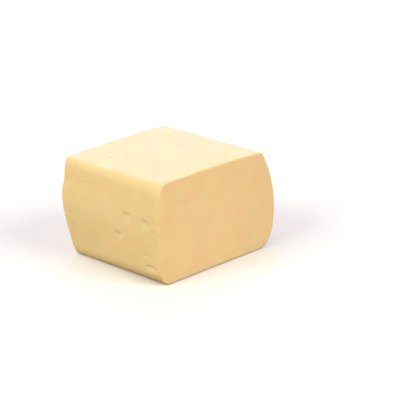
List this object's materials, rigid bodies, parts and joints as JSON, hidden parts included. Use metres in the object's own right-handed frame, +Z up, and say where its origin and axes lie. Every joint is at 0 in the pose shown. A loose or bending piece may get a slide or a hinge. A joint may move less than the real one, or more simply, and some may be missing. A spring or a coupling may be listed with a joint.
{
  "type": "mozzarella block",
  "caption": "Block of pale yellow mozzarella cut from a moulded loaf, with a flat cut face, soft edges and bulging sides, for slicing, serving or display.",
  "frame": {"origin": "middle of the block's bounding box, on the underside that it rests on", "axes": "+X across the loaf towards the side that bulges most, +Y along the loaf from the knife's cut to the moulded end, +Z up"},
  "size_m": [0.138, 0.1164, 0.0867],
  "materials": {
    "cheese": "pale yellow cheese, slightly moist, soft satin"
  },
  "bodies": {
    "root": {"mozzarella_block": "cheese"}
  },
  "joints": []
}
